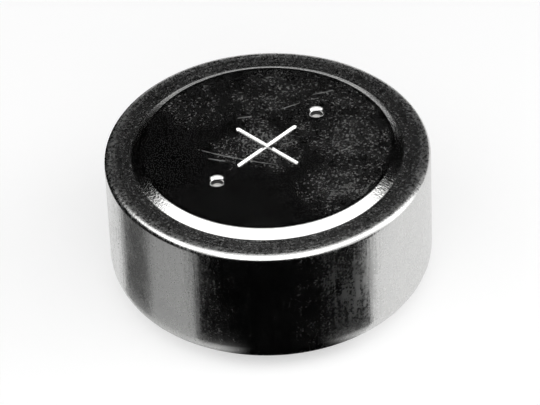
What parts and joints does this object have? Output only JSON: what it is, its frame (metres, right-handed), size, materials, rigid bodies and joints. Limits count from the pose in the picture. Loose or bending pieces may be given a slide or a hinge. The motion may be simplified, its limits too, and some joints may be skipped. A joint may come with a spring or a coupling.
{
  "type": "zinc-air button cell",
  "caption": "Round metal zinc-air button cell with a stepped positive face, engraved plus sign and air holes; powers small devices that take a coin-shaped cell.",
  "frame": {"origin": "centre of the negative contact face, on which the cell stands", "axes": "+Z along the cell's axis, from the negative cap to the positive face; the air holes lie in line at 45 degrees between +X and +Y"},
  "size_m": [0.0116, 0.0116, 0.0054],
  "materials": {
    "can_plate": "bright nickel plate with fine scratches and stains",
    "cap_metal": "satin nickel",
    "gasket_nylon": "natural nylon",
    "diffusion_paper": "soft unsized paper",
    "ptfe_film": "matt white film",
    "catalyst": "pressed carbon black",
    "screen_nickel": "plain nickel",
    "barrier_film": "thin microporous film",
    "absorbent_felt": "wet non-woven",
    "zinc_gel": "grey powder in gel"
  },
  "bodies": {
    "root": {"positive_can": "can_plate", "negative_cap": "cap_metal", "gasket": "gasket_nylon", "air_diffusion_paper": "diffusion_paper", "ptfe_membrane": "ptfe_film", "gas_diffusion_layer": "ptfe_film", "nickel_screen": "screen_nickel", "catalyst_layer": "catalyst", "barrier_separator": "barrier_film", "absorbent_separator": "absorbent_felt", "zinc_anode": "zinc_gel"}
  },
  "joints": []
}
